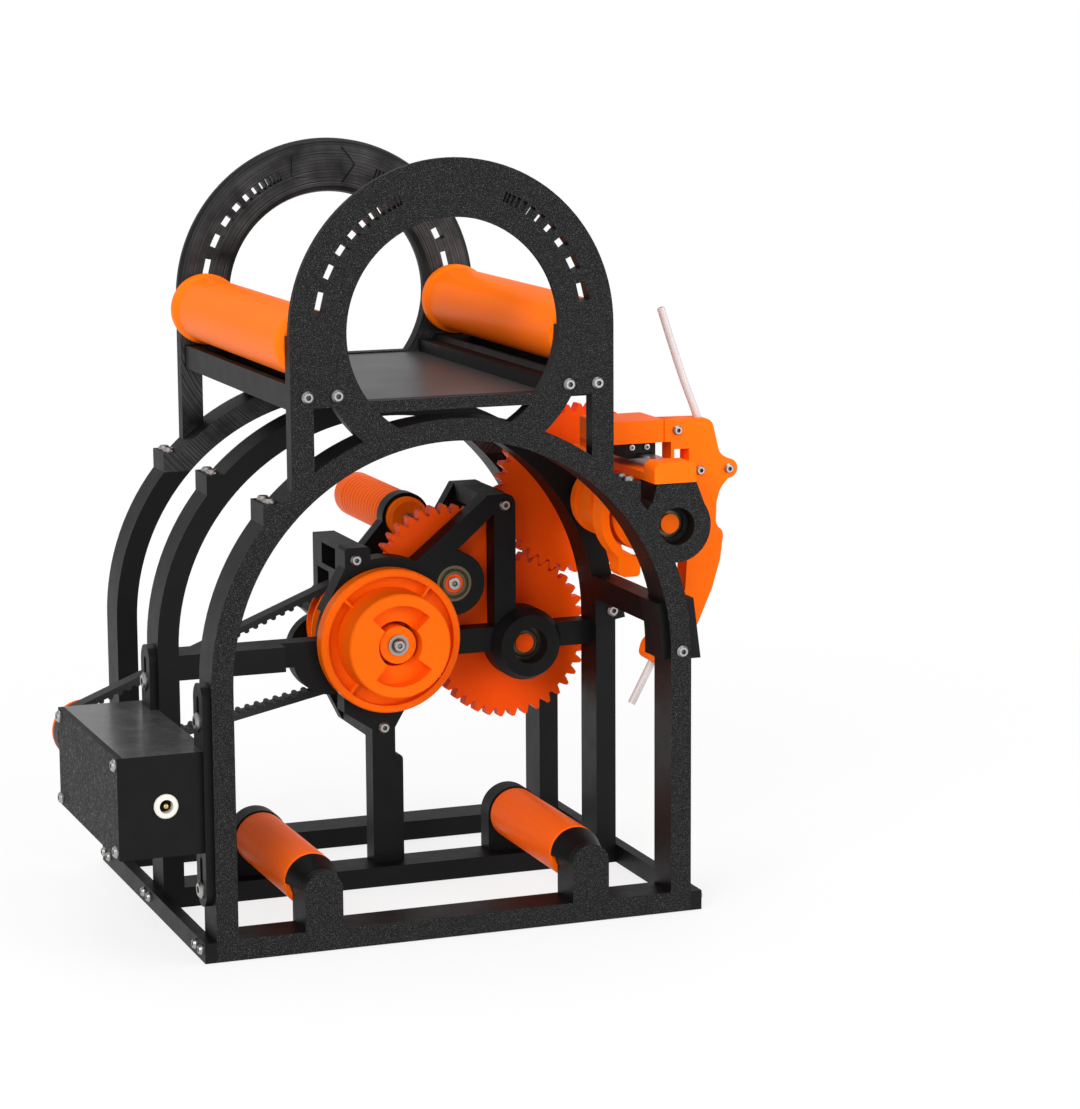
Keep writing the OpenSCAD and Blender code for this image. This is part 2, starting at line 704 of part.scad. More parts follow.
// Sector outline between two radii
module sector(r0, r1, a0, a1) {
  difference() {
    intersection() {
      circle(r1);
      polygon([[0, 0], for (k = [0 : 6]) 2 * r1 * [cos(a0 + (a1 - a0) * k / 6), sin(a0 + (a1 - a0) * k / 6)]]);
    }
    circle(r0);
  }
}
module driver_disc() {
  floor_y = disc_y0 + rim_t - 3;
  back_y = disc_y0 + rim_t;
  boss_y = shaft_y0;
  color(orange) put() difference() {
    union() {
      turned(0, spindle_z, hub_y0) polygon([[shaft_r, boss_y - hub_y0], [boss_r, boss_y - hub_y0],
        [boss_r, floor_y - hub_y0], [socket_r, floor_y - hub_y0], [socket_r, 0], [hub_r - 0.8, 0],
        [hub_r, 0.8], [hub_r + 0.6, floor_y - hub_y0], [disc_r - rim_w, floor_y - hub_y0],
        [disc_r - rim_w, hub_rise], [disc_r - 0.8, hub_rise], [disc_r, hub_rise + 0.8],
        [disc_r, back_y - hub_y0], [shaft_r, back_y - hub_y0]]);
      for (a = [52, 137, 229, 322])
        translate([0, disc_y0 + 0.4, spindle_z]) rotate([0, -a, 0])
          translate([hub_r - 0.5, 0, -0.7]) cube([disc_r - hub_r - rim_w + 1, rim_t - 3, 1.4]);
    }
    // bayonet recesses above and below, and the slot beside the boss
    translate([0, 0, spindle_z]) slab(hub_y0 - 1, hub_y0 + lobe_d) {
      sector((boss_r + socket_r) / 2, lobe_r, 41, 135);
      sector((boss_r + socket_r) / 2, lobe_r, 231, 322);
    }
    translate([0, 0, spindle_z]) slab(floor_y - 1, back_y + 1) sector(boss_r + 0.6, socket_r, -36, 36);
    translate([0, boss_y - 1, spindle_z]) rotate([-90, 0, 0]) cylinder(r = shaft_r, h = 1);
  }
}

// Gears

function inv_deg(a) = tan(a) * 180 / PI - a;
pa = 25;
// Outline of a spur gear: three points on each flank of a tooth
function tooth_half(n, m, r) =
  let (rp = n * m / 2, rb = rp * cos(pa))
  (PI * m / 2 - backlash / 2) / (2 * rp) * 180 / PI + inv_deg(pa) - inv_deg(acos(min(1, rb / r)));
function gear_pts(n, m) =
  let (rp = n * m / 2, ra = rp + add_f * m, rf = rp - 1.15 * m, rb = rp * cos(pa),
       r0 = max(rb, rf + 0.1), r1 = (r0 + ra) / 2, rr = [rf, r0, r1, ra])
  [for (i = [0 : n - 1]) for (k = [0 : 7])
    let (j = k < 4 ? k : 7 - k, r = rr[j], h = tooth_half(n, m, max(r, r0)), a = 360 * i / n + (k < 4 ? -h : h))
    r * [cos(a), sin(a)]];
module gear2d(n, m, rot) { rotate(rot) polygon(gear_pts(n, m)); }
module gear(x, z, n, m, rot, y0) { translate([x, 0, z]) slab(y0, y0 + gear_w) gear2d(n, m, rot); }
module spindle_pinion() {
  color(orange) put() difference() {
    gear(0, spindle_z, n_pin1, mod1, ang_sa, ga_y0);
    rod(0, spindle_z, shaft_r, ga_y0 - 1, ga_y0 + gear_w + 1);
  }
}
journal_y1 = plate_y0 + bearing_w;
module gear_a() {
  color(orange) put() {
    gear(ax, az, n_a, mod1, rot_a, ga_y0);
    gear(ax, az, n_pin2, mod2, ang_ab, gb_y0);
    rod(ax, az, shaft_r, web_y0 + 0.5, journal_y1);
    rod(ax, az, shaft_r + 1.6, y_m1 + gap, gb_y0);
  }
}
module gear_b() {
  color(orange) put() {
    gear(bx, bz, n_b, mod2, rot_b, gb_y0);
    rod(bx, bz, shaft_r, b_boss_y0 + b_seat - 1, journal_y1);
    rod(bx, bz, shaft_r + 3, y_m1 + gap, gb_y0 + gear_w);
  }
}
module gear_c() {
  color(orange) put() difference() {
    union() {
      gear(cx, cz, n_c, mod2, rot_c, gb_y0);
      rod(cx, cz, shaft_r + 5, y_m1 + gap, gb_y0);
    }
    rod(cx, cz, shaft_r, y_m1, gb_y0 + gear_w + 1);
  }
}
module drive_pulley() {
  n = round(2 * PI * pulley_r / belt_pitch);
  color(orange) put() difference() {
    union() {
      translate([0, 0, spindle_z]) slab(pul_y0, pul_y0 + belt_w + 4) difference() {
        circle(pulley_r);
        for (i = [0 : n - 1]) rotate(i * 360 / n) translate([pulley_r, 0]) circle(1.4);
      }
      rod(0, spindle_z, pulley_r + 2.5, pul_y0 + belt_w + 4, pul_y0 + belt_w + 5.5);
    }
    rod(0, spindle_z, shaft_r, pul_y0 - 1, pul_y0 + belt_w + 8);
  }
}
module pulley_flange() {
  color(orange) put() difference() {
    rod(0, spindle_z, pulley_r + 4.5, pul_y0 - 1.4, pul_y0);
    rod(0, spindle_z, shaft_r, pul_y0 - 2, pul_y0 + 1);
  }
}
// Arm with a square socket on the spindle's end, and the pin that the grip turns on
socket_w = 22;
socket_l = 12;
module crank_arm() {
  px = -sin(crank_ang);
  pz = cos(crank_ang);
  color(black) put() {
    difference() {
      union() {
        slab(crank_y0, crank_y0 + arm_t) {
          disk(grip_x, grip_z, 13.6);
          polygon([[6 * px, spindle_z + 6 * pz], [grip_x + 9 * px, grip_z + 9 * pz],
            [grip_x - 9 * px, grip_z - 9 * pz], [-6 * px, spindle_z - 6 * pz]]);
        }
        translate([0, crank_y0 - socket_l, spindle_z]) rotate([0, -crank_ang, 0])
          translate([-socket_w / 2, 0, -socket_w / 2]) cube([socket_w, socket_l + arm_t + 1, socket_w]);
      }
      rod(0, spindle_z, shaft_r, crank_y0 - socket_l - 1, crank_y0 + arm_t + 2);
    }
    rod(grip_x, grip_z, pin_r, crank_y0 + arm_t - 1, grip_y1 - 10);
  }
}
module crank_cap() {
  color(orange) put() turned(grip_x, grip_z, crank_y0 - 6)
    polygon([[0, 1.2], [3, 1.2], [3, 0], [9.5, 0], [11.5, 2], [11.5, 6], [0, 6]]);
}
// Grip with ribs, turning on the crank's pin
module crank_grip() {
  n = 13;
  p = (grip_l - 20) / n;
  color(orange) put() turned(grip_x, grip_z, grip_y0) polygon(concat(
    [[pin_r + run_fit, 0], [grip_r - 1, 0], [grip_r, 1]],
    [for (i = [0 : n - 1]) each [[grip_r, 4 + i * p], [grip_r - 0.5, 4.6 + i * p], [grip_r - 0.5, 5.4 + i * p],
      [grip_r, 6 + i * p]]],
    [for (k = [0 : 6]) [grip_r - 7 + 7 * cos(k * 15), grip_l - 7 + 7 * sin(k * 15)]],
    [[0, grip_l], [0, grip_l - 9], [pin_r + run_fit, grip_l - 9]]));
}

// Motor box and belt

mid_tab_y = y_m0 + frame_t / 2;
front_tab_y = frame_t / 2;
tab_top = box_z + box_h + tab_up;
tab_bot = box_z - tab_down;
jack_x = box_x1 - jack_in;
jack_z = box_z + box_h / 2;
jack_r = 6;
cover_in = 4;
module tab(y) {
  difference() {
    translate([box_x1 - tab_t, 0, 0]) {
      translate([0, y - tab_r, tab_bot + tab_r]) cube([tab_t, 2 * tab_r, tab_top - tab_bot - 2 * tab_r]);
      for (z = [tab_bot + tab_r, tab_top - tab_r])
        translate([0, y, z]) rotate([0, 90, 0]) cylinder(r = tab_r, h = tab_t);
    }
    for (z = [tab_top - tab_r - 7, tab_bot + tab_r + 7])
      for (k = [-1, 1]) {
        translate([box_x1 - tab_t - 1, y, z + k * 7]) rotate([0, 90, 0]) cylinder(r = 2.2, h = tab_t + 2);
        translate([box_x1 - tab_t - 1, y - 2.2, z - 7]) cube([tab_t + 2, 4.4, 14]);
      }
  }
}
module motor_box() {
  color(black) put() difference() {
    union() {
      translate([box_x0, box_y, box_z]) cube([box_w, box_l, box_h]);
      tab(front_tab_y);
      tab(mid_tab_y);
    }
    translate([box_x0 - 1, box_y + box_wall, box_z + box_wall])
      cube([box_w - tab_t + 1, box_l - 2 * box_wall, box_h - 2 * box_wall]);
    rod(mot_x, mot_z, 6, box_y1 - box_wall - 1, box_y1 + 1);
    rod(jack_x, jack_z, jack_r - 1, box_y - 1, box_y + box_wall + 1);
  }
}
module motor_cover() {
  color(black) put() translate([box_x0 - cover_t, box_y, box_z]) cube([cover_t, box_l, box_h]);
}
module jack_ring() {
  color(white) put() turned(jack_x, jack_z, box_y - 1.5)
    polygon([[3.4, 0], [jack_r - 0.5, 0], [jack_r, 0.5], [jack_r, 1.5], [jack_r - 1, 1.5], [jack_r - 1, 5], [3.4, 5]]);
}
module jack_core() {
  color(black) put() turned(jack_x, jack_z, box_y - 1.5)
    polygon([[0, 0.6], [1, 0.6], [1, 5], [3.4, 5], [jack_r - 1, 5], [jack_r - 1, 12], [0, 12]]);
}
module motor() {
  y1 = box_y1 - box_wall;
  color([0.6, 0.6, 0.62]) put() difference() {
    turned(mot_x, mot_z, y1 - motor_l) polygon([[0, 0], [motor_r - 2, 0], [motor_r, 2], [motor_r, motor_l], [0, motor_l]]);
    rod(mot_x, mot_z, 3 + run_fit, y1 - 20, y1 + 1);
  }
}
module motor_pulley() {
  n = round(2 * PI * small_r / belt_pitch);
  y1 = box_y1 - box_wall;
  color(orange) put() {
    translate([mot_x, 0, mot_z]) slab(pul_y0, pul_y0 + belt_w + 4) difference() {
      circle(small_r);
      for (i = [0 : n - 1]) rotate(i * 360 / n) translate([small_r, 0]) circle(1.4);
    }
    rod(mot_x, mot_z, small_r + 3.4, pul_y0 - 1.6, pul_y0);
    rod(mot_x, mot_z, small_r + 3.4, pul_y0 + belt_w + 4, pul_y0 + belt_w + 5.6);
    rod(mot_x, mot_z, 3, y1 - 19, pul_y0 + belt_w + 4);
  }
}
// Belt: its back round both pulleys, with teeth on the two straight runs
bl = sqrt(mot_x * mot_x + (mot_z - spindle_z) * (mot_z - spindle_z));
b_ang = atan2(spindle_z - mot_z, -mot_x);
b_in1 = small_r + gap;
b_in2 = pulley_r + gap;
b_tilt = asin((b_in2 - b_in1) / bl);
b_run = bl * cos(b_tilt);
function b_n(s) = [cos(b_ang + s * (b_tilt + 90)), sin(b_ang + s * (b_tilt + 90))];
b_mot = [mot_x, mot_z];
b_spi = [0, spindle_z];
function arc_pts(c, r, a0, a1, n) = [for (k = [0 : n]) let (a = a0 + (a1 - a0) * k / n) c + r * [cos(a), sin(a)]];
function mot_arc(t) = arc_pts(b_mot, b_in1 + t, b_ang + 90 + b_tilt, b_ang + 270 - b_tilt, 20);
function spi_arc(t) = arc_pts(b_spi, b_in2 + t, b_ang - 90 - b_tilt, b_ang + 90 + b_tilt, 28);
// One straight run with its row of rounded teeth, from the motor to the spindle
function tooth_pts(t) = [for (k = [0 : 4]) [t - tooth_r * cos(k * 45), -tooth_r * sin(k * 45)]];
function run_pts(s) =
  let (n = floor((b_run - 16) / belt_pitch), a = b_mot + b_in1 * b_n(s),
       d = [cos(b_ang + s * b_tilt), sin(b_ang + s * b_tilt)])
  [for (i = [0 : n]) for (q = tooth_pts(8 + i * belt_pitch)) a + q[0] * d + q[1] * b_n(s)];
function back(l) = [for (k = [len(l) - 1 : -1 : 0]) l[k]];
module belt() {
  color(black) put() slab(belt_y0, belt_y0 + belt_w) difference() {
    polygon(concat(mot_arc(belt_t), spi_arc(belt_t)));
    polygon(concat(mot_arc(0), run_pts(-1), spi_arc(0), back(run_pts(1))));
  }
}

// Level wind

// Barrel path: four half strokes in four turns, slowing at both ends
turns = 2;
function ease(u) = u < 0.12 ? u * u / 0.24 : u > 0.88 ? 0.88 - (1 - u) * (1 - u) / 0.24 : u - 0.06;
function path_y(u) = (bar_y0 + bar_y1 - stroke) / 2 + stroke * ease(u) / 0.88;
u_rest = (0.06 + 0.88 * (guide - (bar_y0 + bar_y1 - stroke) / 2) / stroke);
function path_a(u, hand) = hand * 360 * turns * (u - hand * u_rest);
seg = 44;
function groove_pts(hand) = [for (i = [0 : seg]) let (u = i / seg, a = path_a(u, hand), y = path_y(u), w = groove_w / 2)
  each [for (c = [[barrel_r - groove_d, -w], [barrel_r + 1, -w], [barrel_r + 1, w], [barrel_r - groove_d, w]])
    [cx + c[0] * cos(a), y + c[1], cz + c[0] * sin(a)]]];
function tube_faces(n, m) = concat(
  [[for (k = [0 : m - 1]) k]],
  [for (i = [0 : n - 1]) for (k = [0 : m - 1])
    each [[i * m + k, (i + 1) * m + k, (i + 1) * m + (k + 1) % m], [i * m + k, (i + 1) * m + (k + 1) % m, i * m + (k + 1) % m]]],
  [[for (k = [m - 1 : -1 : 0]) n * m + k]]);
function flip(f) = [for (t = f) [for (k = [len(t) - 1 : -1 : 0]) t[k]]];
module groove(hand) {
  f = tube_faces(seg, 4);
  polyhedron(groove_pts(hand), hand > 0 ? f : flip(f));
}
module barrel() {
  color(orange) put() difference() {
    union() {
      rod(cx, cz, barrel_r, bar_y0, bar_y1);
      rod(cx, cz, shaft_r, ear_b_y - 2, gb_y0 + gear_w);
      rod(cx, cz, shaft_r + 1.2, ear_b_y + bearing_w + gap, bar_y0);
      rod(cx, cz, shaft_r + 1.5, bar_y1, y_m0 - gap);
    }
    groove(1);
    groove(-1);
  }
}
module level_rail() {
  color(steel) put() translate([rail_x - rail_w / 2, 4, rail_z0]) cube([rail_w, y_m1 - 8, rail_h]);
}
// Holder of the linear rail, on both ears, with a round-shouldered clamp block at the front
clamp_l = 14;
module rail_holder() {
  w0 = cx - 12;
  w1 = cx + 10.4;
  top = rail_z1 + 1;
  color(orange) put() difference() {
    union() {
      translate([w0, 0, ear_top]) cube([w1 - w0 - 2, y_m1, base_h]);
      slab(0, clamp_l) {
        box2(w0, w1, ear_top, top - 4);
        box2(w0 + 4, w1 - 4, ear_top, top);
        disk(w0 + 4, top - 4, 4);
        disk(w1 - 4, top - 4, 4);
      }
    }
    translate([rail_x - rail_w / 2, 4, rail_z0]) cube([rail_w, y_m1 - 8, rail_h]);
  }
}
car_y0 = guide - car_t / 2;
block_w = 16;
skirt = 2.2;
module carriage_block() {
  color(black) put() difference() {
    translate([rail_x - 10, car_y0 + 4, rail_z1 - skirt]) cube([block_w, saddle_l - 4, block_z1 - rail_z1 + skirt]);
    translate([rail_x - rail_w / 2 - gap, car_y0, rail_z0]) cube([rail_w + 2 * gap, saddle_l + 8, rail_h + gap]);
  }
}
// Carriage plate: saddle on the block, window, lug, and the arm that leads the tube down to the nozzle
module carriage2d() {
  inner = cx + barrel_r + 2;
  difference() {
    union() {
      polygon([[saddle_x1 - 1, block_z1], [saddle_x1 - 1, block_z1 + saddle_h], [cx + 34.5, block_z1 + saddle_h - 0.5],
        [cx + 39, ear_top + 8],
        [car_x1, ear_top + 5], [car_x1, ear_top - 5], [cx + 39.4, ear_top - 10], [cx + 37.4, cz + 5], [cx + 37, cz - 7],
        [cx + 41.4, cz - 10.5], [cx + 39.5, cz - 25], [cx + 35, cz - 40], [cx + 27, cz - 58], [cx + 18, cz - 70],
        [cx + 7, cz - 79.5], [cx - 1.5, cz - 74], [cx + 0.5, cz - 66.5], [cx + 9, cz - 60.5], [cx + 16, cz - 51],
        [cx + 20, cz - 39], [inner, cz - 24], [inner, cz + 14], [cx + 12, cz + 20], [cx + 12, block_z1]]);
      disk(car_x1, ear_top, ear_lug_r);
      // flange and collar round the barrel's inner side, with a tongue below
      box2(saddle_x0, saddle_x0 + 5.5, cz + 8, block_z1 + 1);
      intersection() {
        difference() {
          disk(cx, cz, barrel_r + collar_gap + collar_t);
          disk(cx, cz, barrel_r + collar_gap);
        }
        box2(cx - 2 * barrel_r, cx + barrel_r + 7, cz - 2 * barrel_r, cz + 10);
      }
      polygon([[cx - 17, cz - 31], [cx - 5, cz - 31], [cx - 5, cz - barrel_r - 3], [cx - 17, cz - barrel_r + 4]]);
    }
    box2(cx + 13.8, cx + 22, ear_top + 5, ear_top + 11.5);
  }
}
module carriage() {
  color(orange) put() difference() {
    union() {
    slab(car_y0, car_y0 + car_t) carriage2d();
    // saddle over the block
    slab(car_y0, car_y0 + saddle_l) round2(saddle_x0, saddle_x1, block_z1, block_z1 + saddle_h, 1.5);
    }
    translate([cx + barrel_r + gap, guide, cz]) rotate([0, 90, 0]) cylinder(r = follow_r, h = follow_l);
  }
}
// Pin that stands just off the barrel's groove
follow_r = 2.2;
follow_l = 7;
module follower_pin() {
  color(steel) put() translate([cx + barrel_r + gap, guide, cz]) rotate([0, 90, 0])
    cylinder(r = follow_r, h = follow_l);
}
// Guide tube, swept through points in the plane of the carriage plate
tube_pts = [[8.7, 105.6], [14.5, 88], [21.5, 68], [28.7, 49.3], [32.5, 36], [34.5, 20], [34.5, 0], [33.2, -16],
  [29.5, -32], [23.5, -47], [15, -60], [9.5, -67.5], [5.5, -74.5], [-1, -86.5], [-7.5, -98.5]];
module guide_tube() {
  m = 10;
  n = len(tube_pts) - 1;
  dirs = [for (i = [0 : n]) let (d = tube_pts[min(n, i + 1)] - tube_pts[max(0, i - 1)]) d / norm(d)];
  pts = [for (i = [0 : n]) for (k = [0 : m - 1]) let (a = 360 * k / m, q = tube_r * cos(a))
    [cx + tube_pts[i][0] + q * dirs[i][1], guide + tube_r * sin(a), cz + tube_pts[i][1] - q * dirs[i][0]]];
  color(white) put() polyhedron(pts, tube_faces(n, m));
}

// Right-hand cross beam with its outer bracket and foot
tie_x = arch_ri - 2;
tie_z = cz - tie_drop - tie_h;
tie_t = 4;
module cross_beam() {
  color(black) put() {
    translate([tie_x, frame_t, tie_z]) cube([tie_h, bay_front, tie_h]);
    translate([tie_x, frame_t, tie_z - 5]) cube([arch_ro - tie_x + 6, tie_t, tie_h + 8]);
    // jaws on both sides of the front post
    slab(2, frame_t + tie_t) difference() {
      polygon([[arch_ro - 6, tie_z - 15], [arch_ro + 6, tie_z - 15], [arch_ro + 2, tie_z + 16], [arch_ro - 6, tie_z + 16]]);
      opening2d(arch_ro);
    }
    slab(4, frame_t + tie_t) difference() {
      intersection() {
        opening2d(arch_ri);
        box2(arch_ri - tie_h, arch_ri, tie_z - 15, tie_z + 14);
      }
      opening2d(arch_ri - 3.5);
    }
    slab(y_m0 - tie_t, y_m0) polygon([[tie_x, tie_z - 14], [arch_ro + 4, tie_z - 11], [arch_ro + 1, tie_z + 2],
      [tie_x, tie_z + 2]]);
  }
}

// Screws: button heads with a hex socket, standing on the faces they hold

module head(r) {
  difference() {
    rotate_extrude() polygon([[0, 0], [r, 0], [r, 0.4 * head_h], [0.72 * r, head_h], [0, head_h]]);
    translate([0, 0, 0.4 * head_h]) cylinder(r = 0.45 * r, h = head_h, $fn = 6);
  }
}
module head_front(x, y, z, r) { translate([x, y, z]) rotate([90, 0, 0]) head(r); }
module head_back(x, y, z, r) { translate([x, y, z]) rotate([-90, 0, 0]) head(r); }
module head_left(x, y, z, r) { translate([x, y, z]) rotate([0, -90, 0]) head(r); }
module head_right(x, y, z, r) { translate([x, y, z]) rotate([0, 90, 0]) head(r); }
beam_mid = (lip_z + 2 + beam_top) / 2;
module ring_screws() {
  color(steel) put()
    for (s = [-1, 1])
      for (x = [tray_x + 9.5, beam_x - 6.5]) {
        head_front(s * x, 0, beam_mid + 1, head_r);
        head_back(s * x, y_b1, beam_mid + 1, head_r);
      }
}
module lug_screws() {
  color(steel) put()
    for (y0 = [0, y_m0, y_b0])
      for (s = [-1, 1])
        for (k = [0.27, 0.73]) translate([s * (lug_x - lug_out / 2), y0 + k * frame_t, split_z + lug_h]) head(head_r);
}
module rail_screws() {
  color(steel) put()
    for (y0 = [0, y_m0, y_b0])
      for (k = [0.25, 0.75]) {
        head_left(-arch_ro - side_w, y0 + k * frame_t, 0.6 * side_h, small_head_r);
        head_right(arch_ro + side_w, y0 + k * frame_t, 0.6 * side_h, small_head_r);
      }
}
module cover_screws() {
  color(steel) put()
    for (y = [box_y + cover_in, box_y1 - cover_in])
      for (z = [box_z + cover_in, box_z + box_h - cover_in]) head_left(box_x0 - cover_t, y, z, head_r);
}
module web_screws() {
  color(steel) put() {
    head_front(corner_x, web_y0, corner_z, head_r);
    head_front(cage_x - 1, web_y0, cage_z, head_r);
    head_front(-2, web_y0, low_sp_z, head_r);
  }
}
module tab_screws() {
  color(steel) put()
    for (y = [front_tab_y, mid_tab_y])
      for (z = [tab_top - tab_r - 10.5, tab_bot + tab_r]) head_left(box_x1 - tab_t, y, z, head_r + 1.4);
}
module carriage_screws() {
  color(steel) put() {
    head_front(cx + 15.4, car_y0, block_z1 + saddle_h / 2, small_head_r);
    head_front(cx + 28, car_y0, ear_top, small_head_r);
    head_front(car_x1, car_y0, ear_top, small_head_r);
  }
}
// Screws of the right-hand tie, on the front post and on its foot
module beam_screws() {
  color(steel) put() {
    head_front(arch_ro - post_w / 2 + 0.5, 0, tie_z - 10.6, head_r);
    head_front(arch_ro - 3.2, y_m0 - tie_t, tie_z - 7, head_r);
  }
}

frame_front_lower();
frame_front_upper();
frame_mid_lower();
frame_mid_upper();
frame_back_lower();
frame_back_upper();
side_rail_left();
side_rail_right();
tray();
tray_beam_left();
tray_beam_right();
top_roller_left();
top_roller_right();
bottom_roller_left();
bottom_roller_right();
gear_web();
rear_plate();
bearing_spindle_front();
bearing_spindle_rear();
bearing_a_front();
bearing_a_rear();
bearing_b_front();
bearing_b_rear();
bearing_barrel_front();
bearing_barrel_mid();
spindle_shaft();
driver_disc();
disc_screw();
spindle_pinion();
drive_pulley();
pulley_flange();
crank_arm();
crank_cap();
crank_grip();
gear_a();
gear_b();
gear_c();
barrel();
motor_box();
motor_cover();
motor();
motor_pulley();
belt();
jack_ring();
jack_core();
level_rail();
rail_holder();
carriage();
carriage_block();
follower_pin();
guide_tube();
cross_beam();
ring_screws();
lug_screws();
rail_screws();
cover_screws();
web_screws();
tab_screws();
carriage_screws();
beam_screws();
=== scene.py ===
# %% [markdown]
# # A filament rewinder in Blender
# The machine is a bench winder: three printed arches, a cradle of orange rollers, a belt-driven spindle
# and a guide that sweeps to and fro. Its solids come ready made and fixed in place, so this lesson adds
# the camera, the light, the finishes, and the small pieces that a solid model leaves plain.

# %% Load the solids
import json
import math

import bmesh
import bpy
from mathutils import Matrix, Vector


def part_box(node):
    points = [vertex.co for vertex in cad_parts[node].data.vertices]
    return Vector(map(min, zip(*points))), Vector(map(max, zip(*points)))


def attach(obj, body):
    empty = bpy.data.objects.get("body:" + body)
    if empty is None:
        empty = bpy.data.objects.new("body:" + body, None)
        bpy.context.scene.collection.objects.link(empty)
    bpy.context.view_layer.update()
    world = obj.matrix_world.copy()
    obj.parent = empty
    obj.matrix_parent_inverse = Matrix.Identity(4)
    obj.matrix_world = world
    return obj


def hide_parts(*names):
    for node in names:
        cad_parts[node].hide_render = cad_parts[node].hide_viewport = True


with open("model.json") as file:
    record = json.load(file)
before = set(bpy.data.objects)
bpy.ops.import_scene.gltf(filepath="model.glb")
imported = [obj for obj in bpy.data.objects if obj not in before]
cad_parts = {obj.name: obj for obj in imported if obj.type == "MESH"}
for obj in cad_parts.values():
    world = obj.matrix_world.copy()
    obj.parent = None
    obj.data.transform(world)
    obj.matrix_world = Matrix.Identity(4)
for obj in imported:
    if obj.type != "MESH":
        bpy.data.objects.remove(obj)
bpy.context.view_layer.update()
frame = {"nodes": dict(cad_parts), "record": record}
nodes = frame["nodes"]
MM = 0.001

# %% [markdown]
# Every piece is placed from the solids themselves. The machine's own drawing counts from the middle of
# the front arch and from its front face, so one small function turns those millimetres into scene metres,
# and another finds the middle of any solid.

# %% Where the drawing's zero is
mid_x = (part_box("side_rail_left")[0].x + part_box("side_rail_right")[1].x) / 2
front_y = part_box("frame_front_lower")[0].y


def at(x, y, z):
    return Vector((mid_x + x * MM, front_y + y * MM, z * MM))


def middle(node):
    low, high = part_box(node)
    return (low + high) / 2


print("drawing zero:", round(mid_x, 5), round(front_y, 5))

# %% [markdown]
# The photograph was taken with a long lens from the left and a little above. A camera was fitted to the
# arch corners and bearing centres, which gives its place, its three angles and its focal length. The
# vertical side of the picture carries the sensor's 36 mm, so the picture's shape can't change the lens.

# %% Camera
PICTURE_H = 1109
SENSOR_H = 36
FOCAL_PX = 3395.15
EYE = at(-540.94, -1543.02, 477.41)
YAW = Matrix.Rotation(math.radians(-20.75), 4, "Z")
PITCH = Matrix.Rotation(math.radians(90 - 9.88), 4, "X")
ROLL = Matrix.Rotation(math.radians(-0.32), 4, "Z")
bpy.ops.object.select_all(action="DESELECT")
bpy.ops.object.camera_add()
camera = bpy.context.object
camera.data.sensor_fit = "VERTICAL"
camera.data.sensor_height = SENSOR_H
camera.data.lens = SENSOR_H * FOCAL_PX / PICTURE_H
camera.data.clip_end = 20
camera.matrix_world = Matrix.Translation(EYE) @ YAW @ PITCH @ ROLL
bpy.context.scene.camera = camera
print("lens:", round(camera.data.lens, 1), "mm")

# %% [markdown]
# Shader sums read better as sums. This class holds one output of a node, and an operator on it adds the
# Math node that does the work. Everything else in a material comes from one method that makes a node,
# sets it up, and fills its sockets.

# %% Materials as expressions
LAYER = 0.0008


class Wire:
    def __init__(self, look, socket):
        self.look = look
        self.socket = socket

    def math(self, operation, first, second):
        return self.look.node("ShaderNodeMath", {"operation": operation}, {0: first, 1: second})[0]

    def __add__(self, other):
        return self.math("ADD", self, other)

    def __radd__(self, other):
        return self.math("ADD", other, self)

    def __sub__(self, other):
        return self.math("SUBTRACT", self, other)

    def __rsub__(self, other):
        return self.math("SUBTRACT", other, self)

    def __mul__(self, other):
        return self.math("MULTIPLY", self, other)

    def __rmul__(self, other):
        return self.math("MULTIPLY", other, self)


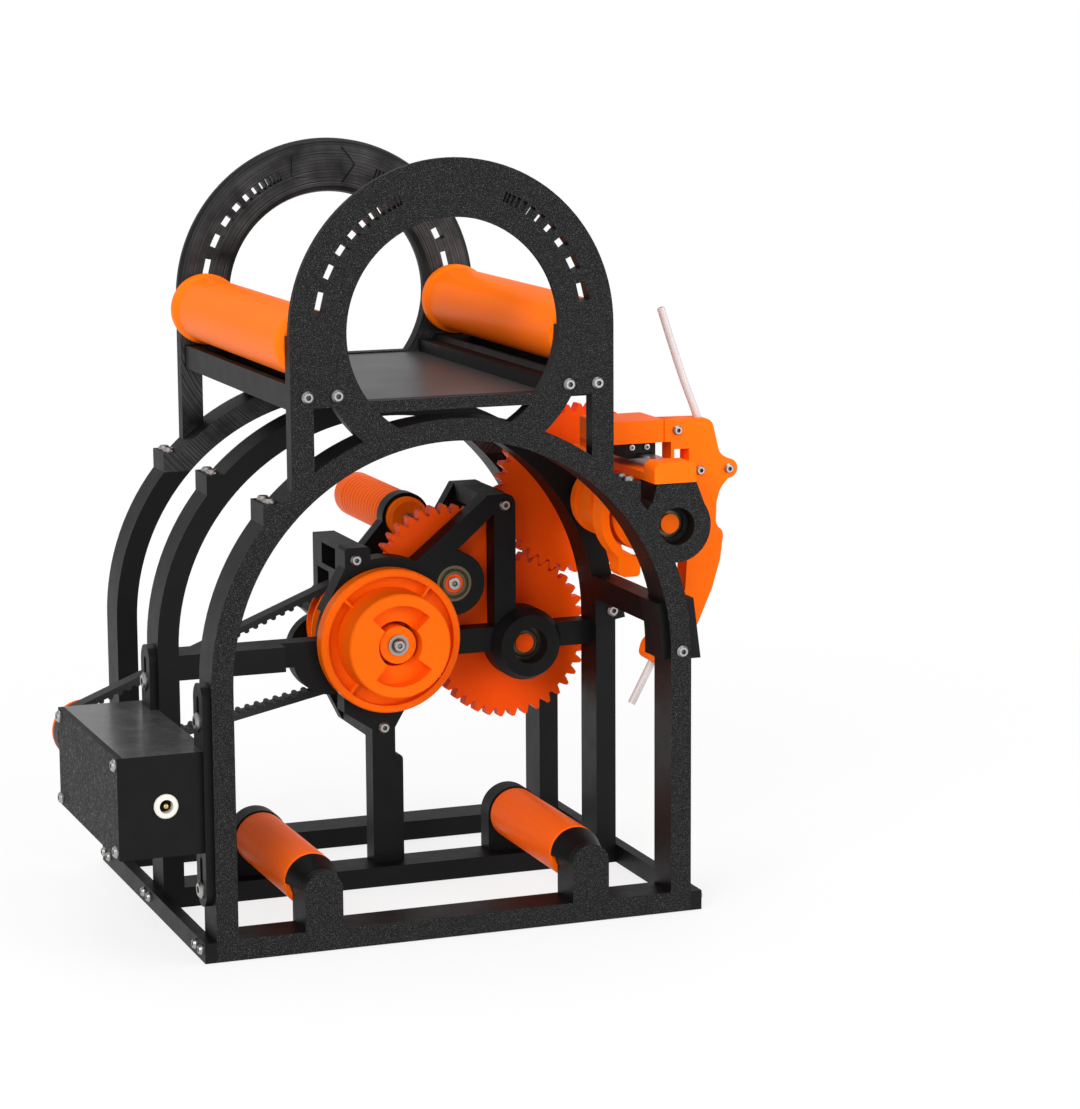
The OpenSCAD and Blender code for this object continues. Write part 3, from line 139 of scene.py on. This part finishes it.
class Look:
    def __init__(self, name):
        self.material = bpy.data.materials.new(name)
        self.material.use_nodes = True
        self.tree = self.material.node_tree
        self.shader = self.tree.nodes["Principled BSDF"]

    def node(self, kind, settings, sockets):
        made = self.tree.nodes.new(kind)
        for key, value in settings.items():
            setattr(made, key, value)
        for key, value in sockets.items():
            self.plug(made.inputs[key], value)
        return [Wire(self, output) for output in made.outputs]

    def plug(self, socket, value):
        if isinstance(value, Wire):
            self.tree.links.new(value.socket, socket)
        else:
            socket.default_value = value

    def surface(self, **sockets):
        for key, value in sockets.items():
            self.plug(self.shader.inputs[key.replace("_", " ")], value)

    def place(self):
        return self.node("ShaderNodeTexCoord", {}, {})[3]

    def along(self, vector, axis):
        return self.node("ShaderNodeSeparateXYZ", {}, {0: vector})["XYZ".index(axis)]

    def facing(self, axis):
        return self.along(self.node("ShaderNodeNewGeometry", {}, {})[1], axis)

    def noise(self, where, scale, detail=3.0, rough=0.55):
        sockets = {"Vector": where, "Scale": scale, "Detail": detail, "Roughness": rough}
        return self.node("ShaderNodeTexNoise", {}, sockets)[0]

    def line_noise(self, where, scale, detail=2.0):
        sockets = {"W": where, "Scale": scale, "Detail": detail}
        return self.node("ShaderNodeTexNoise", {"noise_dimensions": "1D"}, sockets)[0]

    def blend(self, share, first, second):
        ends = [(*end, 1) if isinstance(end, tuple) else end for end in (first, second)]
        return self.node("ShaderNodeMix", {"data_type": "RGBA"}, {0: share, 6: ends[0], 7: ends[1]})[2]

    def rise(self, value, low, high):
        return self.node("ShaderNodeMapRange", {}, {"Value": value, "From Min": low, "From Max": high})[0]

    def bump(self, height, strength, distance):
        sockets = {"Strength": strength, "Distance": distance, "Height": height}
        return self.node("ShaderNodeBump", {}, sockets)[0]

    def layers(self, where, axis):
        phase = self.along(where, axis) * (2 * math.pi / LAYER)
        return self.node("ShaderNodeMath", {"operation": "SINE"}, {0: phase})[0]

    def distance(self, where, hub):
        offset = self.node("ShaderNodeVectorMath", {"operation": "SUBTRACT"}, {0: where, 1: hub})[0]
        flat = self.node("ShaderNodeVectorMath", {"operation": "MULTIPLY"}, {0: offset, 1: (1, 0, 1)})[0]
        return self.node("ShaderNodeVectorMath", {"operation": "LENGTH"}, {0: flat})[1]


print("material tools ready")

# %% [markdown]
# Two plastics make up nearly the whole machine. The black parts are printed on a grainy plate, so the
# face that lay on the plate sparkles. The opposite face was printed last and shows the nozzle's strokes,
# which on the two rings run in arcs round the middle, and the walls between show fine layers. A texture
# could be painted for each face, but one function with masks from the surface's own direction gives all
# three, and it fits any solid. The motor box has a smoother top with a coat, and that top's colour is
# painted lighter as a painted reflection of the light it catches.

# %% Black printed plastic
GRAIN = 1900
COVER_GRAIN = 750
STROKE = 1500
RING_HUB = at(0, 0, 303)
BLACK_DEEP = (0.0026, 0.0026, 0.0028)
BLACK_WORN = (0.0056, 0.0056, 0.0058)
BLACK_GLINT = (0.092, 0.092, 0.094)
BLACK_STROKE = (0.125, 0.125, 0.127)
# painted reflection: lighter tone for the motor box's upward faces
BLACK_TOP_REFLECTION = (0.088, 0.088, 0.089)


def printed_black(name, side=None, sign=1, hub=None, grain=GRAIN, shine=0.0):
    look = Look(name)
    where = look.place()
    cloud = look.noise(where, 90)
    tone = look.blend(cloud, BLACK_DEEP, BLACK_WORN)
    rough = cloud * 0.16 + 0.40
    height = look.layers(where, "Y") * 0.12
    if side is not None:
        toward = look.facing(side) * sign
        plate = look.rise(toward, 0.86, 0.97)
        speck = look.noise(where, grain, 2.0, 0.8)
        glint = look.rise(speck, 0.54, 0.72)
        tone = look.blend(plate * glint, tone, BLACK_GLINT)
        rough = rough + plate * (0.12 - glint * 0.2)
        height = height * (1 - plate) + plate * speck * 2.4
    if hub is not None:
        last = look.rise(toward, -0.86, -0.97)
        stroke = look.rise(look.line_noise(look.distance(where, hub), STROKE), 0.3, 0.8)
        stroke = stroke * look.rise(look.noise(where, 45), 0.3, 0.75)
        tone = look.blend(last * stroke, tone, BLACK_STROKE)
        rough = rough - last * stroke * 0.15
        height = height + last * stroke * 0.12
    if shine > 0:
        # painted reflection: base colour is raised on faces that point up
        upward = look.rise(look.facing("Z"), 0.8, 0.98)
        tone = look.blend(upward * cloud, tone, BLACK_TOP_REFLECTION)
        look.surface(Coat_Weight=upward * shine, Coat_Roughness=0.2)
    look.surface(Base_Color=tone, Roughness=rough, Normal=look.bump(height, 0.55, 0.00025))
    look.surface(Specular_IOR_Level=0.14)
    return look.material


black_smooth = printed_black("black_smooth")
black_front = printed_black("black_grain_front", "Y", -1)
black_front_ring = printed_black("black_grain_front_ring", "Y", -1, RING_HUB)
black_back = printed_black("black_grain_back", "Y", 1)
black_back_ring = printed_black("black_grain_back_ring", "Y", 1, RING_HUB)
black_left = printed_black("black_grain_left", "X", -1, grain=COVER_GRAIN)
black_box = printed_black("black_box", shine=0.9)
print("black finishes:", 7)

# %% [markdown]
# The orange parts are a glossy filament with a thin shine. Their colour shifts very slightly from layer
# to layer, which keeps big faces such as the gears from looking like paint. The layers run across the
# direction in which the part stood on the printer, so each part says its own axis. The gears get a redder
# orange, partly their own tone and partly painted shade, and the top rollers a yellower one, so the share
# of green is left to each finish.

# %% Orange printed plastic


def printed_orange(name, axis, green):
    look = Look(name)
    where = look.place()
    cloud = look.noise(where, 45)
    drift = look.line_noise(look.along(where, axis), 700)
    tone = look.blend(cloud * 0.55 + drift * 0.45, (0.95, green, 0.0015), (1.0, green * 1.4, 0.0040))
    rough = cloud * 0.14 + 0.32
    lines = look.layers(where, axis) * 0.1
    look.surface(Base_Color=tone, Roughness=rough, Normal=look.bump(lines, 0.4, 0.0002))
    look.surface(Specular_IOR_Level=0.045)
    return look.material


orange_flat = printed_orange("orange_flat", "Y", 0.118)
orange_upright = printed_orange("orange_upright", "Z", 0.105)
# partly painted shade: a redder orange for the gears, which sit in shade
orange_gear_tone_and_shade = printed_orange("orange_gear_tone_and_shade", "Y", 0.070)
orange_top = printed_orange("orange_top", "Z", 0.138)
print("orange finishes:", 4)

# %% [markdown]
# Steel shows on the bearings, the rail and the screws. A fine streaky noise in the roughness is what
# tells turned or drawn metal from grey paint, and the hex holes of the screws get painted shade, so they
# go dark wherever little open sky is seen. The belt is moulded rubber with a little dust, the tray a dark
# sheet with a soft shine, and the socket's ring and the tube are white plastics.

# %% Steel, rubber, tray and white plastics
STREAK_SCALE = (900, 60, 900)
# painted shade colour for the screws' hex holes
SOCKET_SHADE = (0.085, 0.083, 0.08)
SOCKET_SHADE_REACH = 0.003


def drawn_steel(name, tone, rough, shade_holes=False):
    look = Look(name)
    drawn = look.node("ShaderNodeMapping", {}, {"Vector": look.place(), "Scale": STREAK_SCALE})[0]
    streak = look.noise(drawn, 1.0)
    colour = look.blend(streak, tuple(0.82 * share for share in tone), tone)
    if shade_holes:
        # painted shade: the colour goes dark in hollows where the AO node sees little open sky
        settings = {"samples": 8, "only_local": True}
        open_sky = look.node("ShaderNodeAmbientOcclusion", settings, {"Distance": SOCKET_SHADE_REACH})[1]
        colour = look.blend(look.rise(open_sky, 0.70, 0.97), SOCKET_SHADE, colour)
    look.surface(Base_Color=colour, Roughness=streak * 0.2 + rough, Metallic=1.0)
    return look.material


def plain_plastic(name, dark, light, rough, scale):
    look = Look(name)
    cloud = look.noise(look.place(), scale)
    look.surface(Base_Color=look.blend(cloud, dark, light), Roughness=cloud * 0.15 + rough)
    look.surface(Normal=look.bump(cloud, 0.2, 0.0002))
    return look.material


steel_bright = drawn_steel("steel_bright", (0.66, 0.66, 0.68), 0.2)
steel_screw = drawn_steel("steel_screw", (0.44, 0.43, 0.42), 0.26, shade_holes=True)
steel_race = drawn_steel("steel_race", (0.13, 0.105, 0.07), 0.24)
pin_gold = drawn_steel("pin_gold", (0.72, 0.52, 0.22), 0.2)
shield_bronze = drawn_steel("shield_bronze", (0.075, 0.058, 0.03), 0.3)
belt_rubber = plain_plastic("belt_rubber", (0.010, 0.010, 0.010), (0.022, 0.022, 0.022), 0.55, 600)
tray_sheet = plain_plastic("tray_sheet", (0.026, 0.027, 0.029), (0.038, 0.039, 0.041), 0.30, 25)
socket_white = plain_plastic("socket_white", (0.60, 0.585, 0.53), (0.68, 0.665, 0.61), 0.3, 300)
tube_white = plain_plastic("tube_white", (0.55, 0.49, 0.475), (0.62, 0.56, 0.545), 0.28, 120)
print("steel finishes:", 5, "plastics:", 4)

# %% [markdown]
# Each solid now gets its finish. Most follow from the slot that the solid names, screws and bearings from
# their names, and only the parts that differ are listed one by one. Painting each by hand would work too,
# but a list shows at a glance which parts share a reel.

# %% Finishes for the solids
FINISH = {
    "frame_front_lower": black_front, "frame_front_upper": black_front_ring,
    "frame_mid_lower": black_back, "frame_mid_upper": black_back,
    "frame_back_lower": black_back, "frame_back_upper": black_back_ring,
    "motor_cover": black_left, "motor_box": black_box, "belt": belt_rubber,
    "tray": tray_sheet, "jack_ring": socket_white, "level_rail": steel_bright,
    "top_roller_left": orange_top, "top_roller_right": orange_top,
    "bottom_roller_left": orange_upright, "bottom_roller_right": orange_upright,
    "crank_grip": orange_upright, "gear_a": orange_gear_tone_and_shade, "gear_b": orange_gear_tone_and_shade,
    "gear_c": orange_gear_tone_and_shade, "spindle_pinion": orange_gear_tone_and_shade,
}
BY_SLOT = {
    "black_print": black_smooth, "orange_print": orange_flat,
    "steel": steel_bright, "white_plastic": tube_white,
}
for part in frame["record"]["subparts"]:
    name = part["node"]
    finish = FINISH.get(name) or BY_SLOT[part["material_slot"]]
    if name.endswith(("screws", "screw")):
        finish = steel_screw
    if name.startswith("bearing_"):
        finish = steel_race
    nodes[name].data.materials.clear()
    nodes[name].data.materials.append(finish)
print("finishes given to", len(nodes), "solids")

# %% [markdown]
# Some moves come back with every new piece: take it alone in hand, apply a modifier, cut a hole, copy it,
# and hand it over with its body and finish. Each is written once here. A copy has its own mesh, and
# its place goes into that mesh, so that every finished piece sits at the scene's zero as the solids do.

# %% Tools for every piece
LAID = (math.pi / 2, 0, 0)
SMOOTH_BELOW = math.radians(35)


def take(piece):
    bpy.ops.object.select_all(action="DESELECT")
    piece.select_set(True)
    bpy.context.view_layer.objects.active = piece


def apply_new(piece, kind, **settings):
    take(piece)
    step = piece.modifiers.new(kind, kind)
    for key, value in settings.items():
        setattr(step, key, value)
    bpy.ops.object.modifier_apply(modifier=step.name)


def cut_away(piece, cutter):
    apply_new(piece, "BOOLEAN", operation="DIFFERENCE", object=cutter)
    bpy.data.objects.remove(cutter)


def copy_of(piece, shift):
    twin = piece.copy()
    twin.data = piece.data.copy()
    twin.data.transform(Matrix.Translation(shift))
    bpy.context.collection.objects.link(twin)
    return twin


def finish_piece(piece, name, body, material):
    take(piece)
    bpy.ops.object.transform_apply(location=True, rotation=True, scale=True)
    bpy.ops.object.shade_smooth_by_angle(angle=SMOOTH_BELOW)
    piece.name = name
    piece.data.name = name
    piece.data.materials.clear()
    piece.data.materials.append(material)
    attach(piece, body)
    bpy.ops.object.select_all(action="DESELECT")


print("piece tools ready")

# %% [markdown]
# A ball bearing is two steel rings with a pressed shield between them. The solids hold the rings and a
# shallow channel. The shield is drawn as a circle whose rim is extruded inwards in small steps, so it gets
# the rolled edges of the real pressing, and Solidify gives it the thickness of sheet metal. One is made,
# and each bearing face gets a copy.

# %% Bearing shields
SHIELD_STEPS = ((7.85, 0.30), (7.55, 0.05), (7.2, 0.0), (6.85, 0.05), (6.55, 0.32))
SHIELD_T = 0.15
SHIELD_IN = 0.2 * MM
radius, depth = SHIELD_STEPS[0]
bpy.ops.object.select_all(action="DESELECT")
bpy.ops.mesh.primitive_circle_add(vertices=64, radius=radius * MM, location=(0, 0, -depth * MM))
shield = bpy.context.object
bpy.ops.object.transform_apply(location=True)
bpy.ops.object.mode_set(mode="EDIT")
for radius_next, depth_next in SHIELD_STEPS[1:]:
    bpy.ops.mesh.extrude_edges_move(TRANSFORM_OT_translate={"value": (0, 0, (depth - depth_next) * MM)})
    share = radius_next / radius
    bpy.ops.transform.resize(value=(share, share, 1), center_override=(0, 0, 0))
    radius, depth = radius_next, depth_next
bpy.ops.mesh.select_all(action="SELECT")
bpy.ops.mesh.normals_make_consistent(inside=False)
bpy.ops.object.mode_set(mode="OBJECT")
apply_new(shield, "SOLIDIFY", thickness=SHIELD_T * MM, offset=-1)
shield.data.transform(Matrix.Rotation(math.pi / 2, 4, "X"))
bearings = [name for name in nodes if name.startswith("bearing_")]
for name in bearings:
    low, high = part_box(name)
    centre = middle(name)
    for side, y in (("front", low.y + SHIELD_IN), ("rear", high.y - SHIELD_IN)):
        face = copy_of(shield, (0, 0, 0))
        if side == "rear":
            face.data.transform(Matrix.Rotation(math.pi, 4, "Z"))
        face.data.transform(Matrix.Translation((centre.x, y, centre.z)))
        finish_piece(face, f"shield_{name[8:]}_{side}", "base", shield_bronze)
bpy.data.objects.remove(shield)
print("shields:", 2 * len(bearings))

# %% [markdown]
# Small socket screws close the first gear's shaft, the crank's cap and the front of the slide block. A
# screw head is a short cylinder with a rounded rim and a hex hole. Sculpting the hole by hand would give
# uneven sides, so a six-sided cutter takes it out in one Boolean step. Two heads are made, one for the
# shafts and one for the block, and each place gets a copy.

# %% Socket screws
SHAFT_HEAD = (3.4, 1.5, 1.7)
BLOCK_HEAD = (1.6, 0.9, 0.85)
BLOCK_X = (109, 117.2)
BLOCK_Z = 234.4
RIM_SHARE = 0.12
CUTTER_OUT = 0.45
SUNK = 0.05


def socket_head(radius, height, across):
    bpy.ops.object.select_all(action="DESELECT")
    bpy.ops.mesh.primitive_cylinder_add(
        vertices=48, radius=radius * MM, depth=height * MM, rotation=LAID)
    head = bpy.context.object
    bpy.ops.object.transform_apply(rotation=True)
    apply_new(head, "BEVEL", width=RIM_SHARE * radius * MM, segments=3)
    bpy.ops.mesh.primitive_cylinder_add(
        vertices=6, radius=across * MM, depth=height * MM,
        location=(0, -CUTTER_OUT * height * MM, 0), rotation=LAID)
    cut_away(head, bpy.context.object)
    return head


def on_face(node, x, z, head):
    height = head[1]
    return Vector((x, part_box(node)[0].y - (height / 2 - SUNK) * MM, z))


shaft = middle("bearing_a_front")
cap = middle("crank_cap")
block_left, block_right = (at(x, 0, BLOCK_Z) for x in BLOCK_X)
SCREW_PLACES = (
    ("screw_gear_a", SHAFT_HEAD, "gear_a_body", "gear_a", shaft),
    ("screw_cap", SHAFT_HEAD, "spindle", "crank_cap", cap),
    ("screw_block_1", BLOCK_HEAD, "carriage_body", "carriage_block", block_left),
    ("screw_block_2", BLOCK_HEAD, "carriage_body", "carriage_block", block_right),
)
heads = {size: socket_head(*size) for size in (SHAFT_HEAD, BLOCK_HEAD)}
for name, size, body, node, axis in SCREW_PLACES:
    screw = copy_of(heads[size], on_face(node, axis.x, axis.z, size))
    finish_piece(screw, name, body, steel_screw)
for head in heads.values():
    bpy.data.objects.remove(head)
print("socket screws:", len(SCREW_PLACES))

# %% [markdown]
# Each front stub swells into a cone just before its roller, so that the roller's end is covered. The cone
# starts as an open cone with no caps, a bisect keeps its upper half, and Solidify gives it a wall that
# sinks into the stub. It could be turned from a profile with Spin, but the cone needs one step less.

# %% Stub shoulders
SHOULDER_BACK = 13.6
SHOULDER_FRONT = 9.75
SHOULDER_L = 15.0
SHOULDER_WALL = 2
ROLLER_GAP = 0.4
bpy.ops.object.select_all(action="DESELECT")
bpy.ops.mesh.primitive_cone_add(
    vertices=96, radius1=SHOULDER_BACK * MM, radius2=SHOULDER_FRONT * MM, depth=SHOULDER_L * MM,
    end_fill_type="NOTHING", rotation=LAID)
shoulder = bpy.context.object
bpy.ops.object.transform_apply(rotation=True)
bpy.ops.object.mode_set(mode="EDIT")
bpy.ops.mesh.select_all(action="SELECT")
bpy.ops.mesh.bisect(plane_co=(0, 0, 0), plane_no=(0, 0, 1), clear_inner=True)
bpy.ops.mesh.select_all(action="SELECT")
bpy.ops.mesh.normals_make_consistent(inside=False)
bpy.ops.object.mode_set(mode="OBJECT")
apply_new(shoulder, "SOLIDIFY", thickness=SHOULDER_WALL * MM, offset=-1)
shoulder_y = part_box("frame_front_lower")[1].y - (SHOULDER_L / 2 + ROLLER_GAP) * MM
for side in ("left", "right"):
    axis = middle(f"bottom_roller_{side}")
    cover = copy_of(shoulder, (axis.x, shoulder_y, axis.z))
    finish_piece(cover, f"shoulder_{side}", "base", black_smooth)
bpy.data.objects.remove(shoulder)
print("shoulders:", 2)

# %% [markdown]
# The power socket has a gilt pin. The solid shows it as part of the black core, so a thin gilt sleeve
# with a rounded tip goes over it: a cylinder whose edges a Bevel rounds in four steps. A turned profile
# would give the same tip with more points to place.

# %% Gilt pin
PIN_R = 1.2
PIN_L = 4.2
PIN_TIP = 0.5
PIN_OUT = 0.1
socket = middle("jack_core")
pin_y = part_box("jack_core")[0].y + (PIN_L / 2 - PIN_OUT) * MM
bpy.ops.object.select_all(action="DESELECT")
bpy.ops.mesh.primitive_cylinder_add(
    vertices=32, radius=PIN_R * MM, depth=PIN_L * MM, location=(socket.x, pin_y, socket.z), rotation=LAID)
pin = bpy.context.object
apply_new(pin, "BEVEL", width=PIN_TIP * MM, segments=4)
finish_piece(pin, "socket_pin", "base", pin_gold)
print("pin faces:", len(pin.data.polygons))

# %% [markdown]
# The guide tube is a stiff white tube, pressed into the carriage plate, that leads the filament down to
# the spool. A smooth curve follows the same points as the solid, its round bevel makes the wall, and
# Solidify leaves the bore open at both ends. It stands for the plain solid of the same name.

# %% Guide tube
TUBE_POINTS = (
    (8.7, 105.6), (14.5, 88), (21.5, 68), (28.7, 49.3), (32.5, 36), (34.5, 20), (34.5, 0), (33.2, -16),
    (29.5, -32), (23.5, -47), (15, -60), (9.5, -67.5), (5.5, -74.5), (-1, -86.5), (-7.5, -98.5),
)
TUBE_R = 2
TUBE_WALL = 0.9
barrel_axis = middle("gear_c")
tube_y = middle("guide_tube").y
bpy.ops.object.select_all(action="DESELECT")
bpy.ops.curve.primitive_bezier_curve_add()
tube = bpy.context.object
path = tube.data.splines[0].bezier_points
path.add(len(TUBE_POINTS) - len(path))
for knot, (right, up) in zip(path, TUBE_POINTS):
    knot.co = (barrel_axis.x + right * MM, tube_y, barrel_axis.z + up * MM)
    knot.handle_left_type = "AUTO"
    knot.handle_right_type = "AUTO"
tube.data.dimensions = "3D"
tube.data.resolution_u = 6
tube.data.bevel_depth = TUBE_R * MM
tube.data.bevel_resolution = 6
bpy.ops.object.convert(target="MESH")
tube = bpy.context.object
apply_new(tube, "SOLIDIFY", thickness=TUBE_WALL * MM, offset=-1)
finish_piece(tube, "guide_tube_hollow", "carriage_body", tube_white)
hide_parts("guide_tube")
print("tube faces:", len(tube.data.polygons))

# %% [markdown]
# The carriage is a printed plate whose outline turns in soft curves, and the solid keeps those corners
# sharp. A copy of the solid is merged into one skin, its triangles are dissolved into whole faces, and the
# edges that run through the plate are bevelled, the roomy corners more than the others. Drawing the
# outline again as a curve would take longer and could drift from the solid. Inner corners of slots stay
# crisp. A thin cutter then leaves the seam between the saddle and the plate, printed as two parts.

# %% Soft corners on the carriage
CORNERS = ((9.5, 4.0), (4.9, 2.4))
SHARP = math.radians(25)
SLOT = math.radians(-80)
STRAIGHT = 0.999
SEAM_AT = (125.2, 0, 243)
SEAM_SIZE = (0.7, 1.4, 20)


def through_corner(edge, room):
    run = edge.verts[1].co - edge.verts[0].co
    turn = edge.calc_face_angle_signed(0)
    beside = [e.calc_length() for v in edge.verts for e in v.link_edges if e is not edge]
    along_y = abs(run.y) > STRAIGHT * run.length
    return along_y and abs(turn) > SHARP and turn > SLOT and min(beside) > room * MM


plate = bpy.data.objects.new("carriage_soft", nodes["carriage"].data.copy())
bpy.context.collection.objects.link(plate)
take(plate)
bpy.ops.object.mode_set(mode="EDIT")
bpy.ops.mesh.select_mode(type="EDGE")
bpy.ops.mesh.select_all(action="SELECT")
bpy.ops.mesh.remove_doubles(threshold=0.001 * MM)
bpy.ops.mesh.dissolve_limited(angle_limit=math.radians(1))
for room, offset in CORNERS:
    bpy.ops.mesh.select_all(action="DESELECT")
    skin = bmesh.from_edit_mesh(plate.data)
    chosen = [edge for edge in skin.edges if through_corner(edge, room)]
    for edge in chosen:
        edge.select_set(True)
    bmesh.update_edit_mesh(plate.data)
    bpy.ops.mesh.bevel(offset=offset * MM, segments=5, affect="EDGES", clamp_overlap=True)
    print("corners rounded by", offset, "mm:", len(chosen))
bpy.ops.object.mode_set(mode="OBJECT")
seam = at(*SEAM_AT)
seam.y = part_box("carriage")[0].y
bpy.ops.object.select_all(action="DESELECT")
bpy.ops.mesh.primitive_cube_add(size=1, location=seam, scale=[side * MM for side in SEAM_SIZE])
cut_away(plate, bpy.context.object)
finish_piece(plate, "carriage_soft", "carriage_body", orange_flat)
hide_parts("carriage")
print("plate faces:", len(plate.data.polygons))

# %% [markdown]
# The machine stands on a white floor. The camera sees floor and backdrop as white, while the object is lit
# at a plain level, so the colours come out as they are written. A plain white floor would show its edge,
# so its glow takes over with distance: near the machine it still takes the faint shadow that seats it, and
# far away it meets the backdrop with no edge.

# %% Floor and sky
FLOOR_SIZE = 12
FLOOR_Z = -0.0005
FLOOR_TONE = (0.86, 0.86, 0.86, 1)
GLOW_FROM, GLOW_TO, GLOW_LEAST = 0.2, 0.75, 0.8
SKY_POWER = 0.6
WHITE = (1, 1, 1, 1)
bpy.ops.object.select_all(action="DESELECT")
bpy.ops.mesh.primitive_plane_add(size=FLOOR_SIZE, location=(0, 0, FLOOR_Z))
floor = bpy.context.object
floor.name = "floor"
ground = Look("floor_white")
rays = ground.node("ShaderNodeLightPath", {}, {})
seen = rays[0] + rays[3] + rays[6]
reach = ground.node("ShaderNodeVectorMath", {"operation": "LENGTH"}, {0: ground.place()})[1]
ramp = {"Value": reach, "From Min": GLOW_FROM, "From Max": GLOW_TO, "To Min": GLOW_LEAST}
far = ground.node("ShaderNodeMapRange", {}, ramp)[0]
glow = ground.node("ShaderNodeEmission", {}, {"Color": WHITE, "Strength": 1.0})[0]
ground.surface(Base_Color=FLOOR_TONE, Roughness=0.6)
paint = Wire(ground, ground.shader.outputs[0])
mixed = ground.node("ShaderNodeMixShader", {}, {0: seen * far, 1: paint, 2: glow})[0]
ground.plug(ground.tree.nodes["Material Output"].inputs[0], mixed)
floor.data.materials.append(ground.material)

sky = bpy.data.worlds.new("studio")
bpy.context.scene.world = sky
sky.use_nodes = True
sky_nodes = sky.node_tree.nodes
light = sky_nodes["Background"]
light.inputs[0].default_value = WHITE
light.inputs[1].default_value = SKY_POWER
backdrop = sky_nodes.new("ShaderNodeBackground")
backdrop.inputs[0].default_value = WHITE
backdrop.inputs[1].default_value = 1.0
sky_rays = sky_nodes.new("ShaderNodeLightPath")
both = sky_nodes.new("ShaderNodeMixShader")
link = sky.node_tree.links.new
link(sky_rays.outputs[0], both.inputs[0])
link(light.outputs[0], both.inputs[1])
link(backdrop.outputs[0], both.inputs[2])
link(both.outputs[0], sky_nodes["World Output"].inputs[0])
print("floor and sky ready")

# %% [markdown]
# Three large lamps give the soft studio light: a strong one from the left, which shapes the rollers, a
# weaker one from the right and a faint one from above. Small lamps would be quicker to place, but they
# throw the hard shadows that the photograph doesn't have.

# %% Lamps
AIM = Vector((0, 0, 0.2))
LAMPS = (
    ("key_left", (-1.5, -1.7, 1.3), 1.3, 40),
    ("fill_right", (1.5, -1.8, 0.8), 1.5, 26),
    ("top_soft", (0.1, 0.2, 2.0), 1.6, 14),
)
for name, place, size, power in LAMPS:
    turn = (AIM - Vector(place)).to_track_quat("-Z", "Y").to_euler()
    bpy.ops.object.light_add(type="AREA", location=place, rotation=turn)
    lamp = bpy.context.object
    lamp.name = name
    lamp.data.size = size
    lamp.data.energy = power
bpy.context.scene.view_settings.view_transform = "Standard"
print("lamps:", len(LAMPS))
